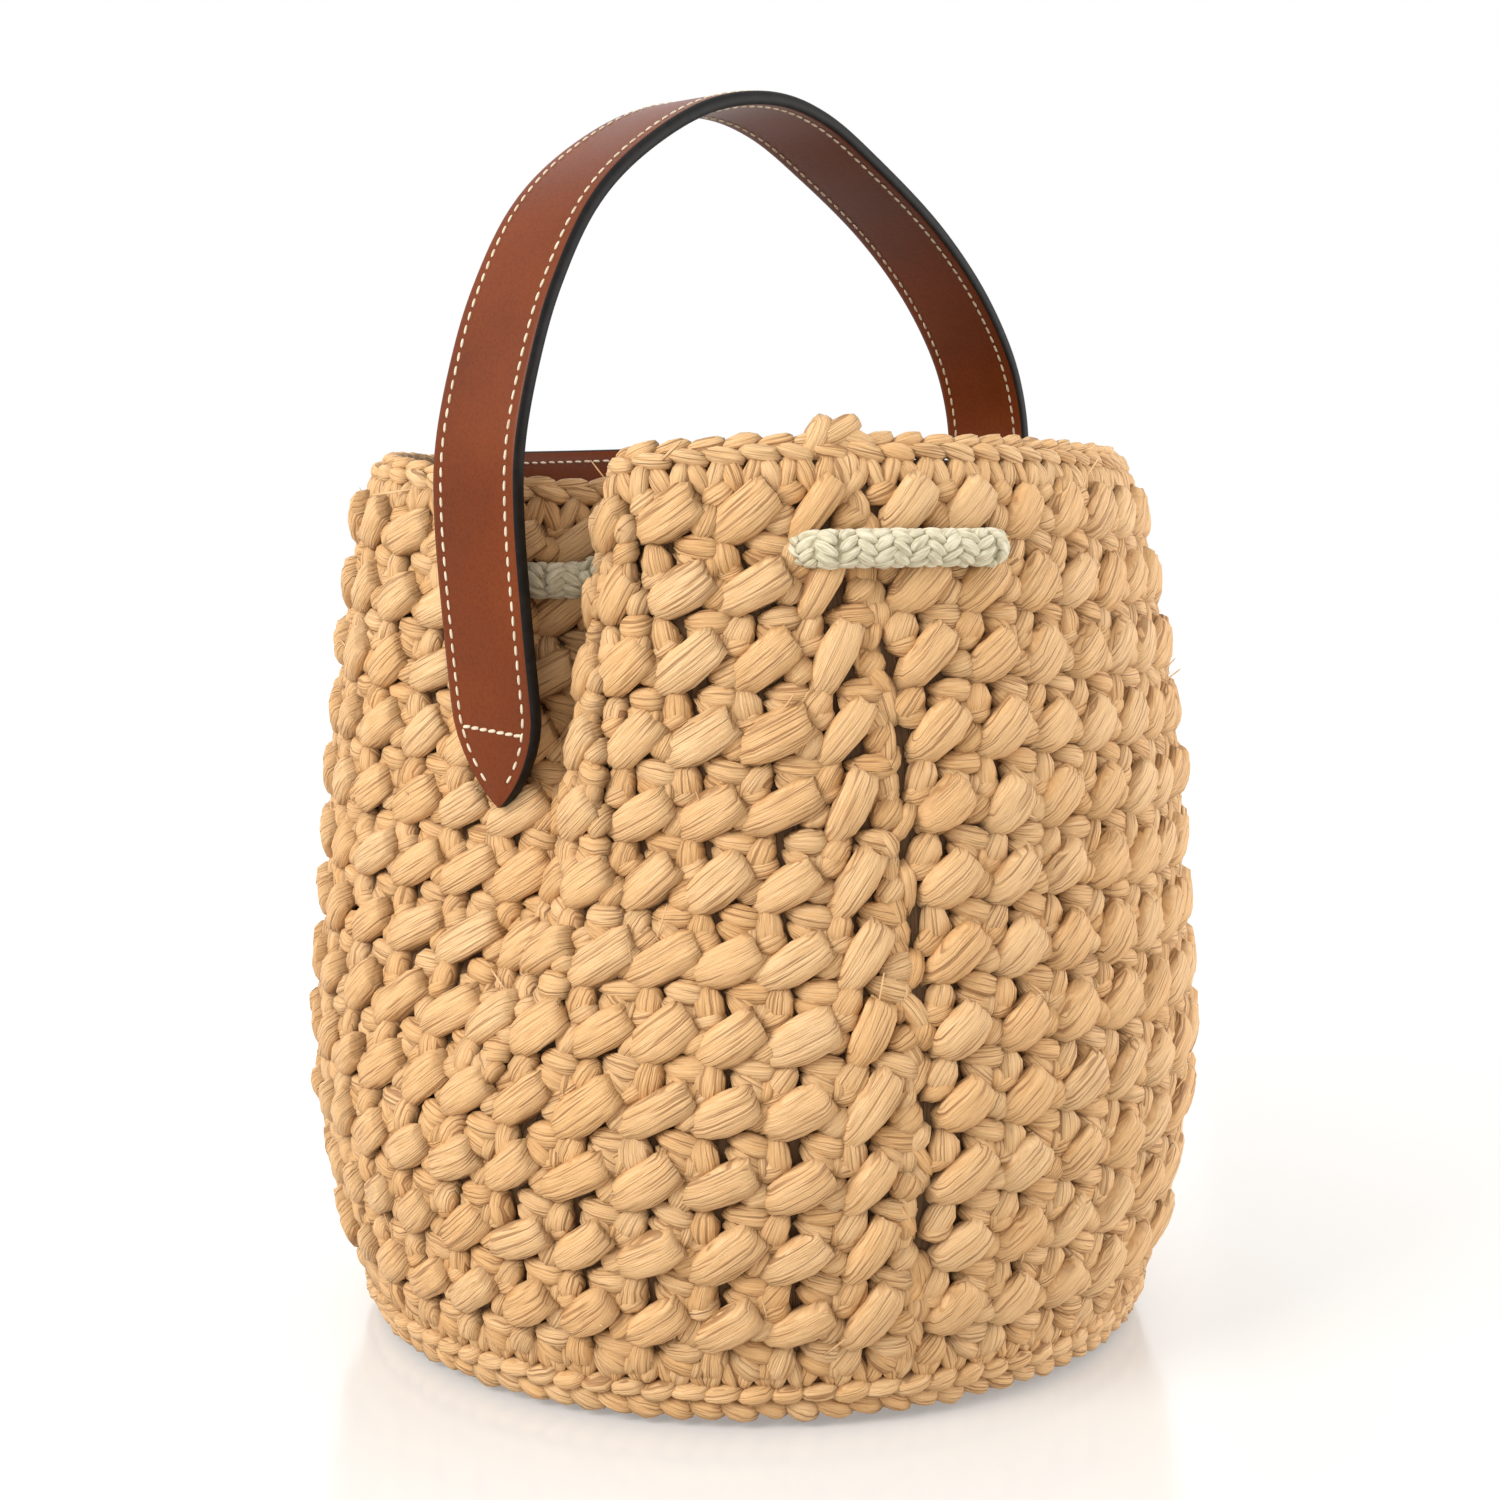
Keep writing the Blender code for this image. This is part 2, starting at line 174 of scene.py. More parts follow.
def addBump(material, shader, height, strength, distance):
    made = addNode(material, "ShaderNodeBump", values={"Strength": strength, "Distance": distance},
                   links={"Height": height})
    feed(material, shader, "Normal", made.outputs["Normal"])


def varyRoughness(material, shader, noise, low, high):
    made = addNode(material, "ShaderNodeMapRange", values={"To Min": low, "To Max": high},
                   links={"Value": noise})
    feed(material, shader, "Roughness", made.outputs["Result"])


def readPoints(material, name):
    return addNode(material, "ShaderNodeAttribute", attribute_name=name).outputs["Fac"]


def readStrand(material):
    return addNode(material, "ShaderNodeUVMap", uv_map="strand").outputs["UV"]


def readPlace(material):
    return addNode(material, "ShaderNodeTexCoord").outputs["Object"]


raffiaFinish = {
    # the darkest brown is painted shade; the fold colour is partly the strip's own streaks and partly painted
    # shade in the creases
    "light": "#E4BE8E", "middle": "#CFA16B", "fold_streak_and_shade": "#7E4F26", "painted_shade_brown": "#331B0C", "faded": "#F7EBD9",
    # width of one fibre of the raffia strip, and how fast it changes along it; then the same for the folds
    "fibreMm": 0.22, "fibreRun": 1.1,
    "foldMm": 0.60, "foldRun": 0.38,
    "foldStreakAndShadeShare": 0.62, "relief": 0.0008,
}


def makeRaffia(name):
    # Dry raffia strip, folded lengthwise as it is worked: fine fibres along each strand, with dark lines at
    # the folds (partly the strip's own streaks, partly painted shade in the creases), and painted shade where
    # each strand sinks into the work
    material, shader = newMaterial(name, {"Roughness": 0.58, "IOR": 1.45, "Specular IOR Level": 0.35})
    colours = {key: fromHex(raffiaFinish[key]) for key in ("light", "middle", "fold_streak_and_shade", "painted_shade_brown", "faded")}
    strand = readStrand(material)
    fibre = addStretch(material, strand, (10 / raffiaFinish["fibreMm"], raffiaFinish["fibreRun"], 1))
    fold = addStretch(material, strand, (10 / raffiaFinish["foldMm"], raffiaFinish["foldRun"], 1))
    fibreNoise = addNoise(material, fibre, Scale=1.0, Detail=2.0, Roughness=0.55)
    foldNoise = addNoise(material, fold, Scale=1.0, Detail=1.5, Distortion=0.35)
    base = ramp(material, fibreNoise, [(0.30, colours["middle"]), (0.62, colours["light"])])
    # dark fold lines: partly the strip's own streaks, partly painted shade in the creases between fibres
    lines = ramp(material, foldNoise, [(0.36, white), (0.44, black)])
    lineShare = addNode(material, "ShaderNodeMath", operation="MULTIPLY",
                        values={1: raffiaFinish["foldStreakAndShadeShare"]}, links={0: lines}).outputs[0]
    lined = mixColours(material, lineShare, base, colours["fold_streak_and_shade"])
    tone = ramp(material, readPoints(material, "tone"), [(0.0, colours["faded"]), (1.0, white)])
    toned = mixColours(material, 1.0, lined, tone, "MULTIPLY")
    # painted shade: each point is mixed towards the darkest brown by its shade value, darker where the strand
    # sinks into the work
    final = mixColours(material, readPoints(material, "shade"), toned, colours["painted_shade_brown"])
    feed(material, shader, "Base Color", final)
    height = addNode(material, "ShaderNodeMath", operation="MULTIPLY_ADD", values={1: 0.45},
                     links={0: fibreNoise, 2: foldNoise}).outputs[0]
    addBump(material, shader, height, 1.0, raffiaFinish["relief"])
    return material


def makeLeather(name):
    # Smooth vegetable-tanned calf, lightly waxed: tight grain, slow changes of tan, satin shine
    material, shader = newMaterial(name, {"Roughness": 0.42, "IOR": 1.48, "Specular IOR Level": 0.16})
    place = readPlace(material)
    cloud = addNoise(material, place, Scale=28.0, Detail=3.0)
    grain = addNode(material, "ShaderNodeTexVoronoi", values={"Scale": 1900.0}, links={"Vector": place},
                    feature="DISTANCE_TO_EDGE").outputs["Distance"]
    pores = addNoise(material, place, Scale=1100.0, Detail=2.0)
    colour = ramp(material, cloud, [(0.3, fromHex("#602A0D")), (0.7, fromHex("#70320F"))])
    speck = ramp(material, pores, [(0.35, (0.86, 0.84, 0.82, 1)), (0.55, white)])
    feed(material, shader, "Base Color", mixColours(material, 1.0, colour, speck, "MULTIPLY"))
    height = addNode(material, "ShaderNodeMath", operation="ADD", links={0: grain, 1: pores}).outputs[0]
    addBump(material, shader, height, 0.22, 0.0002)
    varyRoughness(material, shader, cloud, 0.34, 0.50)
    return material


def makeEdgePaint(name):
    # Two coats of black edge paint, slightly rounded and dull
    material, shader = newMaterial(name, {"Roughness": 0.55, "IOR": 1.5, "Specular IOR Level": 0.18})
    wear = addNoise(material, readPlace(material), Scale=300.0, Detail=3.0)
    feed(material, shader, "Base Color",
         ramp(material, wear, [(0.35, fromHex("#0C0A09")), (0.75, fromHex("#1C1715"))]))
    addBump(material, shader, wear, 0.15, 0.0002)
    return material


def makeCotton(name, light, darkFibreAndShade, fibreMm):
    # Soft spun cotton: matt, with twisted fibres along each strand, and painted shade in the dark fibre
    # colour where strands sink in
    material, shader = newMaterial(name, {"Roughness": 0.9, "IOR": 1.45, "Specular IOR Level": 0.2,
                                          "Sheen Weight": 0.25, "Sheen Roughness": 0.5})
    fibre = addStretch(material, readStrand(material), (10 / fibreMm, 2.2, 1))
    noise = addNoise(material, fibre, Scale=1.0, Detail=3.0)
    colour = ramp(material, noise, [(0.3, fromHex(darkFibreAndShade)), (0.6, fromHex(light))])
    # painted shade: the dark fibre colour is mixed in by each point's shade value
    shaded = mixColours(material, readPoints(material, "shade"), colour, fromHex(darkFibreAndShade))
    feed(material, shader, "Base Color", shaded)
    addBump(material, shader, noise, 0.6, 0.0004)
    return material


def makeFloor(name):
    # Pale acrylic sheet with a faint shine, lit from below
    material, shader = newMaterial(name, {"Base Color": fromHex("#C0BEBA"), "Roughness": 0.16, "IOR": 1.45,
                                          "Specular IOR Level": 0.5, "Emission Color": white,
                                          "Emission Strength": 0.27})
    haze = addNoise(material, readPlace(material), Scale=3.0)
    varyRoughness(material, shader, haze, 0.12, 0.20)
    return material


raffia = makeRaffia("crocheted_raffia")
leather = makeLeather("waxed_tan_calf_leather")
edgePaint = makeEdgePaint("black_edge_paint")
cotton = makeCotton("braided_cotton_cord", "#D8CFB4", "#A89F80", 0.5)
thread = makeCotton("waxed_linen_thread", "#E6D6BD", "#B49E7E", 0.25)


# ---- the bag's own shape: the middle of its wall

shape = {
    "rimHeight": 0.251, "reach": 0.014, "reachUp": 0.006, "closingCurve": 1.2,
    "floorRadius": 0.1110, "bellyGain": 0.0158, "bellyHeight": 0.115,
    "pinchStart": 0.060, "pinchHeight": 0.158, "creaseSlide": 0.055, "creaseAt": 0.24, "creaseSpread": 0.09,
    "rimDip": 0.040, "rimDipAt": 0.262, "rimDipSpread": 0.085,
    # half outlines, from the front centre round the left side to the back centre
    "waist": [(0.0, -0.119), (-0.048, -0.1085), (-0.0835, -0.0778), (-0.1013, -0.0422), (-0.1020, -0.0245),
              (-0.0920, -0.0130), (-0.0972, -0.0010), (-0.0985, 0.011), (-0.1005, 0.033), (-0.0975, 0.0634),
              (-0.076, 0.0946), (-0.0394, 0.1123)],
    "mouth": [(0.0, -0.1030), (-0.039, -0.0995), (-0.075, -0.0790), (-0.0975, -0.0540), (-0.1010, -0.0395),
              (-0.0870, -0.0290), (-0.0680, -0.0225), (-0.0730, -0.0085), (-0.0895, 0.0030), (-0.0945, 0.027),
              (-0.0915, 0.055), (-0.0740, 0.0775), (-0.039, 0.0965)],
}


def ease(value, low, high):
    t = min(1.0, max(0.0, (value - low) / (high - low)))
    return t * t * (3 - 2 * t)


def smoothLine(points, closed, steps=24):
    pts = [Vector(p) for p in points]
    spans = len(pts) if closed else len(pts) - 1

    def at(i):
        return pts[i % len(pts)] if closed else pts[min(max(i, 0), len(pts) - 1)]

    def between(p0, p1, p2, p3, t):
        return 0.5 * (2 * p1 + (p2 - p0) * t + (2 * p0 - 5 * p1 + 4 * p2 - p3) * t * t
                      + (3 * p1 - p0 - 3 * p2 + p3) * t ** 3)

    line = [between(at(i - 1), at(i), at(i + 1), at(i + 2), k / steps)
            for i in range(spans) for k in range(steps)]
    return line if closed else line + [pts[-1]]


def evenly(line, closed, count):
    ring = line + [line[0]] if closed else line
    run = [0.0]
    for a, b in zip(ring, ring[1:]):
        run.append(run[-1] + (b - a).length)
    out, k = [], 0
    total = count if closed else count - 1
    for i in range(count):
        want = run[-1] * i / total
        while k < len(run) - 2 and run[k + 1] < want:
            k += 1
        out.append(ring[k].lerp(ring[k + 1], (want - run[k]) / (run[k + 1] - run[k])))
    return out, run[-1]


outlinePoints = 240


def turnedOutline(half):
    # the other half is the same one turned half round
    return evenly(smoothLine(half + [(-x, -y) for x, y in half], True), True, outlinePoints)[0]


waist = turnedOutline(shape["waist"])
mouth = turnedOutline(shape["mouth"])


def onOutline(outline, share):
    place = (share % 1.0) * outlinePoints
    i = int(place)
    return outline[i % outlinePoints].lerp(outline[(i + 1) % outlinePoints], place - i)


def awayFrom(share, place):
    # how far round from that place on either half of the bag
    return min((share % 0.5 - place) % 0.5, (place - share % 0.5) % 0.5)


def wallPoint(share, height):
    # middle of the wall at that share of the way round from the front centre towards the left
    turn = 2 * math.pi * share
    swell = math.sin(math.pi / 2 * min(1.0, height / shape["bellyHeight"]))
    radius = shape["floorRadius"] + shape["bellyGain"] * swell
    level = Vector((-radius * math.sin(turn), -radius * math.cos(turn)))
    above = (height - shape["pinchHeight"]) / (shape["rimHeight"] - shape["pinchHeight"])
    closing = min(1.0, max(0.0, above))
    near = awayFrom(share, shape["creaseAt"])
    pinch = ease(height, shape["pinchStart"], shape["pinchHeight"])
    slant = shape["creaseSlide"] * math.exp(-(near / shape["creaseSpread"]) ** 2) * (1 - pinch)
    pinched = onOutline(waist, share - slant).lerp(onOutline(mouth, share), closing ** shape["closingCurve"])
    flat = level.lerp(pinched, pinch)
    beside = awayFrom(share, shape["rimDipAt"])
    dip = shape["rimDip"] * math.exp(-(beside / shape["rimDipSpread"]) ** 2)
    lift = 1 - dip * ease(height, 0.0, shape["rimHeight"])
    return Vector((flat.x, flat.y, height * lift))


def wallFrame(share, height, out=0.0, inside=False):
    # a place on the wall with its directions: right, up and out as seen by someone facing that side of it
    middle = wallPoint(share, height)
    around = wallPoint(share - shape["reach"], height) - wallPoint(share + shape["reach"], height)
    rise = wallPoint(share, height + shape["reachUp"]) - wallPoint(share, height - shape["reachUp"])
    level = Vector((around.y, -around.x, 0)).normalized()
    right, up = around.normalized(), rise.normalized()
    normal = right.cross(up).normalized()
    if inside:
        right, normal, level = -right, -normal, -level
    up = normal.cross(right).normalized()
    return middle + level * out, right, up, normal


# ---- lumps: one stretch of strand each, modelled once and copied with a mesh of its own

def clearSelection():
    bpy.ops.object.select_all(action="DESELECT")


lumpMaking = {"ringReach": 0.004, "flatSlope": 3.4, "ridgeSeed": 50}


def makeLump(name, lump):
    # a ball with its poles along X, each of its rings then scaled and moved to the strand's own outline
    clearSelection()
    bpy.ops.mesh.primitive_uv_sphere_add(segments=lump["sides"], ring_count=lump["rings"], radius=0.5,
                                         rotation=(0, math.pi / 2, 0))
    obj = bpy.context.object
    obj.name = name
    bpy.ops.object.transform_apply(location=False, rotation=True, scale=False)
    bpy.ops.object.mode_set(mode="EDIT")
    bpy.context.tool_settings.mesh_select_mode = (True, False, False)
    for k, (wide, thick, rise, shift) in enumerate(lump["outline"], start=1):
        x = -0.5 * math.cos(math.pi * k / lump["rings"])
        bm = bmesh.from_edit_mesh(obj.data)
        for v in bm.verts:
            v.select = abs(v.co.x - x) < lumpMaking["ringReach"]
        bm.select_flush_mode()
        bmesh.update_edit_mesh(obj.data)
        bpy.ops.transform.resize(value=(1, wide, thick), center_override=(x, 0, 0))
        bpy.ops.transform.translate(value=(shift, 0, rise))
    bpy.ops.mesh.select_all(action="SELECT")
    bpy.ops.transform.vertex_random(offset=lump["crumple"], uniform=0.5, seed=lump["seed"])
    bpy.ops.object.mode_set(mode="OBJECT")
    mesh = obj.data
    points = np.array([v.co for v in mesh.vertices])
    roller = random.Random(lump["seed"] + lumpMaking["ridgeSeed"])
    ridges = [1 + lump["ridge"] * roller.uniform(-1, 1) for _ in range(lump["sides"])]
    for i, p in enumerate(points):
        side = int(round((math.atan2(p[2], p[1]) / (2 * math.pi) % 1.0) * lump["sides"])) % lump["sides"]
        points[i, 1:] *= ridges[side]
    # pressed flat: the middle of the section is level and its edges square
    flat = lump.get("flat", 0.0)
    points[:, 2] = (1 - flat) * points[:, 2] + flat * 0.5 * np.tanh(points[:, 2] * lumpMaking["flatSlope"])
    faces = [tuple(f.vertices) for f in mesh.polygons]
    # the strand's own lengths: across it, drawn together where it narrows, and along it
    widest = {round(p[0], 2): max(abs(q[1]) for q in points if abs(q[0] - p[0]) < 0.05) for p in points}
    flatPlace = [((p[1] + 0.4 * p[2]) / (0.5 + 1.0 * widest[round(p[0], 2)]), p[0] + 0.5) for p in points]
    uvs = [[flatPlace[v] for v in face] for face in faces]
    bpy.data.objects.remove(obj)
    return {"points": points, "faces": faces, "uvs": uvs}


def strandPiece(name, lumps, places, material):
    # places: (site, right, up, angle, lean, (length, width, thickness), tone, painted shade on top and at the
    # back)
    points, faces, coords, tones, shades, start = [], [], [], [], [], 0
    for site, along, across, angle, lean, size, tone, shade in places:
        origin, right, up, normal = site
        lump = lumps[dice.randrange(len(lumps))]
        local = lump["points"] * np.array(size)
        turn, tip = math.radians(angle), math.radians(lean)
        x = local[:, 0] * math.cos(tip) - local[:, 2] * math.sin(tip)
        z = local[:, 0] * math.sin(tip) + local[:, 2] * math.cos(tip)
        r = x * math.cos(turn) - local[:, 1] * math.sin(turn) + along
        u = x * math.sin(turn) + local[:, 1] * math.cos(turn) + across
        placed = (np.array(origin) + np.outer(r, np.array(right)) + np.outer(u, np.array(up))
                  + np.outer(z, np.array(normal)))
        points.append(placed)
        faces.extend(tuple(start + v for v in f) for f in lump["faces"])
        start += len(placed)
        du, dv = dice.uniform(0, 40), dice.uniform(0, 40)
        wide, long = size[1] * 100, size[0] * 100
        for corner in lump["uvs"]:
            coords.extend((u0 * wide + du, v0 * long + dv) for u0, v0 in corner)
        tones.append(np.full(len(placed), tone))
        # painted shade: each strand is darkened from its top towards its back, where it sinks into the work
        low, high = shade
        depth = (local[:, 2] / size[2] + 0.5)
        shades.append(np.clip(high + (low - high) * depth * 1.15, 0, 1))
    mesh = bpy.data.meshes.new(name)
    mesh.from_pydata(np.concatenate(points).tolist(), [], faces)
    mesh.uv_layers.new(name="strand").data.foreach_set("uv", np.array(coords).ravel())
    for key, values in (("tone", tones), ("shade", shades)):
        mesh.attributes.new(key, "FLOAT", "POINT").data.foreach_set("value", np.concatenate(values))
    mesh.shade_smooth()
    mesh.materials.append(material)
    obj = bpy.data.objects.new(name, mesh)
    bpy.context.scene.collection.objects.link(obj)
    return obj


puffLumps = [makeLump(f"puff_{k}", {
    "sides": 16, "rings": 8, "seed": 11 + k, "crumple": 0.042, "ridge": 0.13, "flat": 0.60,
    # width, thickness, rise, shift of each ring, from the tucked tip to the blunt end
    "outline": [(1.00, 1.2, -0.26, 0.00), (0.98, 1.0, -0.10, 0.00), (1.00, 1.0, 0.00, 0.0),
                (1.04, 0.95, 0.05, 0.0), (1.14, 0.95, 0.06, 0.0), (1.42, 1.05, 0.03, 0.03),
                (2.20, 1.6, -0.06, 0.035)],
}) for k in range(7)]
leafLumps = [makeLump(f"leaf_{k}", {
    "sides": 10, "rings": 7, "seed": 31 + k, "crumple": 0.050, "ridge": 0.15, "flat": 0.40,
    "outline": [(0.75, 0.9, -0.10, 0.0), (0.85, 1.0, -0.03, 0.0), (1.0, 1.0, 0.0, 0.0), (1.05, 1.0, 0.0, 0.0),
                (1.15, 1.0, -0.02, 0.0), (1.35, 1.1, -0.08, 0.0)],
}) for k in range(6)]
print("strand shapes modelled")


# ---- crocheted wall: columns of puff stitches with their posts and chains between them

crochet = {
    "columns": 42, "rows": 12, "topRow": 0.2325, "rowStep": 0.0185, "columnWidth": 0.018,
    "seamTop": 0.100, "seamBottom": 0.088, "seamWidth": 0.008,
    "puff": (0.0226, 0.0101, 0.0084), "puffOut": 0.0034, "lowOut": 0.0020,
    "besideAngle": 58, "leftAngle": 31, "rightAngle": 43, "besideWide": 0.85,
    "rightLong": 0.84, "rightWide": 1.06, "narrowest": 0.82, "widest": 1.12,
}
# the strands round each puff:
# (right in column widths, its sway, up, its sway, angle, its sway, lean, size, tones, painted shade on top
# and at the back)
postStrands = [
    (-0.20, 0.0008, -0.0100, 0, 256, 24, -8, (0.0122, 0.0080, 0.0070), (0.1, 0.9), (0.05, 0.75)),
    (0.56, 0, -0.0010, 0.0008, 40, 24, 0, (0.0096, 0.0076, 0.0068), (0.1, 0.9), (0.08, 0.8)),
]
chainStrands = [
    (0.42, 0, -0.0070, 0, -8, 12, 0, (0.0128, 0.0070, 0.0062), (0.1, 0.9), (0.06, 0.8)),
    (0.34, 0, -0.0112, 0, -32, 14, -4, (0.0112, 0.0066, 0.0058), (0.0, 0.8), (0.12, 0.85)),
    (-0.30, 0, 0.0050, 0.0005, 25, 14, 4, (0.0096, 0.0068, 0.0062), (0.1, 0.9), (0.06, 0.8)),
    (0.60, 0, -0.0125, 0, 80, 14, 0, (0.0070, 0.0042, 0.0045), (0.0, 0.8), (0.15, 0.9)),
]


def seamShare(height):
    return crochet["seamBottom"] + (crochet["seamTop"] - crochet["seamBottom"]) * height / shape["rimHeight"]


def vary(size, amount=0.09):
    return tuple(s * dice.uniform(1 - amount, 1 + amount) for s in size)


def sway(amount):
    # nothing is drawn where nothing sways
    return dice.uniform(-amount, amount) if amount else 0


def widthAt(share, height):
    # how wide one column is there, against its mean width
    reach = 0.01
    a, b = wallPoint(share - reach, height), wallPoint(share + reach, height)
    return (a - b).length / (2 * reach) / crochet["columns"] / crochet["columnWidth"]


def columnShares(height):
    free = 1 - crochet["seamWidth"]
    return [seamShare(height) + crochet["seamWidth"] / 2 + free * (c + 0.5) / crochet["columns"]
            for c in range(crochet["columns"])]


def makeWall():
    puffs, posts, chains = [], [], []
    for row in range(crochet["rows"]):
        height = crochet["topRow"] - crochet["rowStep"] * row
        for column, share in enumerate(columnShares(height)):
            left = column < crochet["columns"] / 2 + 4
            beside = column == 0
            narrow = min(crochet["widest"], max(crochet["narrowest"], widthAt(share, height)))
            angle = crochet["besideAngle" if beside else ("leftAngle" if left else "rightAngle")]
            place = wallFrame(share, height, crochet["puffOut"])
            long, wide, thick = vary(crochet["puff"])
            long *= (0.5 + 0.5 * narrow) * (1.0 if left else crochet["rightLong"])
            wide *= (crochet["besideWide"] if beside else 1.0) * (1.0 if left else crochet["rightWide"])
            tone = dice.uniform(0.25, 1.0)
            # painted shade on each puff: none on its top, up to 0.55 at its back
            puffs.append((place, sway(0.0006), sway(0.0007), angle + sway(7), 8 + sway(4),
                          (long, wide, thick), tone, (0.0, 0.55)))
            low = wallFrame(share, height, crochet["lowOut"])
            step = crochet["columnWidth"] * narrow
            for strands, table in ((posts, postStrands), (chains, chainStrands)):
                for right, rightSway, up, upSway, slope, slopeSway, lean, size, tones, shade in table:
                    strands.append((low, right * step + sway(rightSway), up + sway(upSway),
                                    slope + sway(slopeSway), lean, vary(size), dice.uniform(*tones), shade))
    return [strandPiece("puff_stitches", puffLumps, puffs, raffia),
            strandPiece("post_stitches", leafLumps, posts, raffia),
            strandPiece("chain_stitches", leafLumps, chains, raffia)]


seam = {"low": 0.020, "high": 0.246, "step": 0.0052, "out": 0.0020, "strand": (0.0118, 0.0066, 0.0056)}


def makeSeam():
    # where the rounds join: upright strands one over another from the base to the rim
    strands = []
    height = seam["low"]
    while height < seam["high"]:
        place = wallFrame(seamShare(height), height, seam["out"])
        # painted shade on each strand, light on top and dark at its back
        strands.append((place, sway(0.0028), 0, 92 + sway(38), sway(12), vary(seam["strand"], 0.25),
                        dice.uniform(0.0, 1.0), (0.02, 0.8)))
        height += seam["step"]
    return [strandPiece("seam_stitches", leafLumps, strands, raffia)]


rim = {
    "count": 84,
    # each kind of strand: its height, how far out, and its size
    "post": (0.2418, 0.0016, (0.0112, 0.0054, 0.0056)),
    "chain": (0.2478, 0.0012, (0.0112, 0.0048, 0.0056)),
    "top": (0.2505, -0.0015, (0.0108, 0.0042, 0.0060)),
    "knot": (0.2522, -0.0004, (0.0145, 0.0066, 0.0070)),
    "knotStrands": [(0.001, 0.0005, 28), (-0.004, -0.0015, 62), (0.005, -0.002, -18)],
}


def makeRim():
    strands = []
    # every rim strand and the knot carry painted shade, darkest at their backs
    for k in range(rim["count"]):
        share = seamShare(shape["rimHeight"]) + k / rim["count"]
        height, out, size = rim["post"]
        place = wallFrame(share, height, out)
        for side in (-1, 1):
            strands.append((place, side * 0.0020, 0, 90 - side * 19 + sway(7), 0, vary(size),
                            dice.uniform(0.2, 1), (0.04, 0.8)))
        for kind, along, angle, lean in (("chain", 0.5, -14, 5), ("top", 0, 10, 3)):
            height, out, size = rim[kind]
            place = wallFrame(share + along / rim["count"], height, out)
            strands.append((place, 0, 0, angle + sway(5), lean, vary(size), dice.uniform(0.3, 1), (0.0, 0.6)))
    height, out, size = rim["knot"]
    knot = wallFrame(seamShare(0.25) + 0.004, height, out)
    for right, up, angle in rim["knotStrands"]:
        strands.append((knot, right, up, angle, 0, size, 0.8, (0.0, 0.6)))
    return [strandPiece("rim_stitches", leafLumps, strands, raffia)]


wisps = {
    "count": 90, "out": 0.0062, "lengths": (0.005, 0.011), "section": (0.0005, 0.0003),
    # three longer ones: (share, height, angle, lean)
    "long": [(0.196, 0.2120, 55, 30), (0.158, 0.2490, 30, 40), (0.335, 0.2440, 200, 35)],
    "longOut": 0.0060, "longSize": (0.0135, 0.0008, 0.0004),
}


def makeWisps():
    # fibres that have worked loose
    strands = []
    # each fibre carries a little painted shade at its back
    for _ in range(wisps["count"]):
        place = wallFrame(dice.random(), dice.uniform(0.02, 0.25), wisps["out"])
        strands.append((place, 0, 0, dice.uniform(0, 180), dice.uniform(8, 38),
                        (dice.uniform(*wisps["lengths"]), *wisps["section"]), 0.9, (0.0, 0.1)))
    for share, height, angle, lean in wisps["long"]:
        place = wallFrame(share, height, wisps["longOut"])
        strands.append((place, 0, 0, angle, lean, wisps["longSize"], 0.9, (0.0, 0.1)))
    return [strandPiece("loose_fibres", leafLumps, strands, raffia)]


inside = {
    "rows": 25, "columns": 84, "low": 0.016, "high": 0.240, "out": 0.0018,
    "stitch": (0.0112, 0.0068, 0.0050),
}


def makeInside():
    # the other face of the same stitches, flatter and more even
    strands = []
    for row in range(inside["rows"]):
        height = inside["low"] + (inside["high"] - inside["low"]) * row / (inside["rows"] - 1)
        for column in range(inside["columns"]):
            share = (column + 0.5 * (row % 2)) / inside["columns"]
            place = wallFrame(share, height, inside["out"], inside=True)
            angle = (24 if row % 2 else -20) + sway(7)
            # painted shade: the inside stitches are darkened strongly towards their backs
            strands.append((place, 0, 0, angle, 0, vary(inside["stitch"]),
                            dice.uniform(0.0, 0.8), (0.10, 0.9)))
    return [strandPiece("inside_stitches", leafLumps, strands, raffia)]


def discFrame(radius, turn, height, up):
    # a place on the base: right runs round it, up runs outwards, facing up or down
    outward = Vector((math.sin(turn), -math.cos(turn), 0))
    normal = Vector((0, 0, 1 if up else -1))
    return outward * radius + Vector((0, 0, height)), outward.cross(normal).normalized() * -1, outward, normal


baseWork = {
    "roundStep": 0.0096, "rounds": 11, "stitchWide": 0.0079, "underHeight": 0.0034, "overHeight": 0.0072,
    "post": (0.0112, 0.0046, 0.0046), "chain": (0.0098, 0.0036, 0.0042),
    # the edge round's strands: height, how far out, size
    "edgeCount": 88,
    "edgePost": (0.0155, 0.0010, (0.0118, 0.0052, 0.0056)),
    "edgeChain": (0.0098, 0.0022, (0.0112, 0.0050, 0.0060)),
    "edgeLow": (0.0052, 0.0008, (0.0115, 0.0058, 0.0060)),
}


